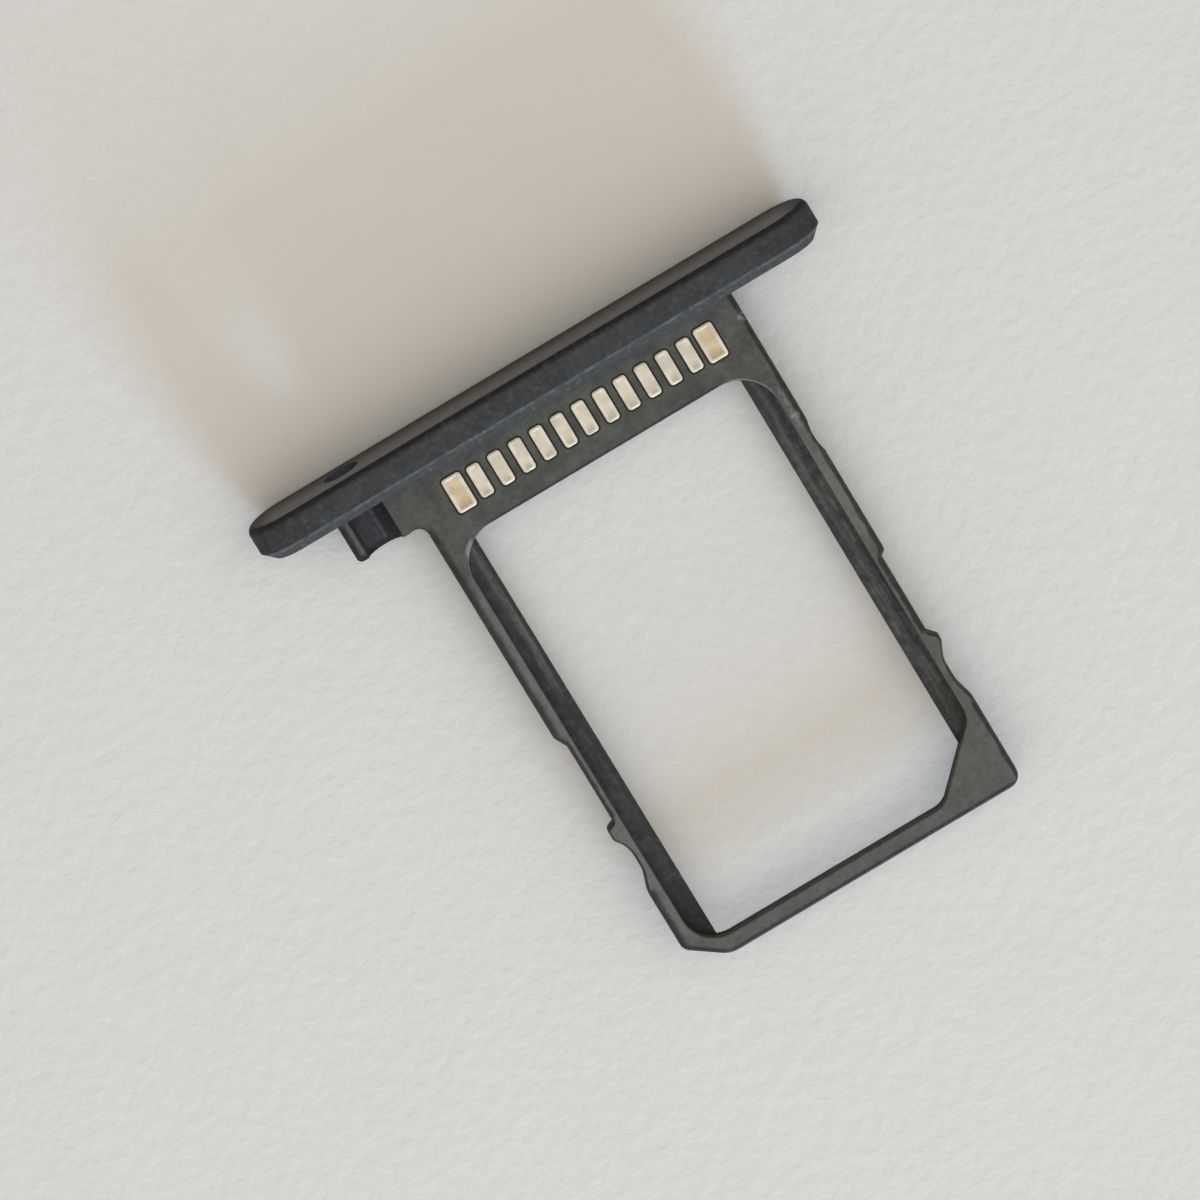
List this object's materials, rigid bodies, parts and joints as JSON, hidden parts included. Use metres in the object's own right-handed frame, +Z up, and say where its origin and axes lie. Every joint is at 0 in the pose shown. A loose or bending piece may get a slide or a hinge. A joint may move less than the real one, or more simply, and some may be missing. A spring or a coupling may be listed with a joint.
{
  "type": "sim card tray",
  "caption": "One-piece metal tray that carries a nano SIM card in an open stepped frame behind a round-ended faceplate with an eject pin hole.",
  "frame": {"origin": "middle of the bounding box in X and Y, at the level of the faceplate's lowest edge", "axes": "+X along the faceplate, away from the eject pin hole; +Y out of the faceplate's front, the way the tray is pulled out; +Z up, the side that the card is laid in from"},
  "size_m": [0.0164, 0.016, 0.0021],
  "materials": {
    "coated_metal": "thin dark matt coat on metal, slightly worn",
    "bare_metal": "pale metal bared through the coat"
  },
  "bodies": {
    "root": {"sim_card_tray": "coated_metal"}
  },
  "joints": []
}
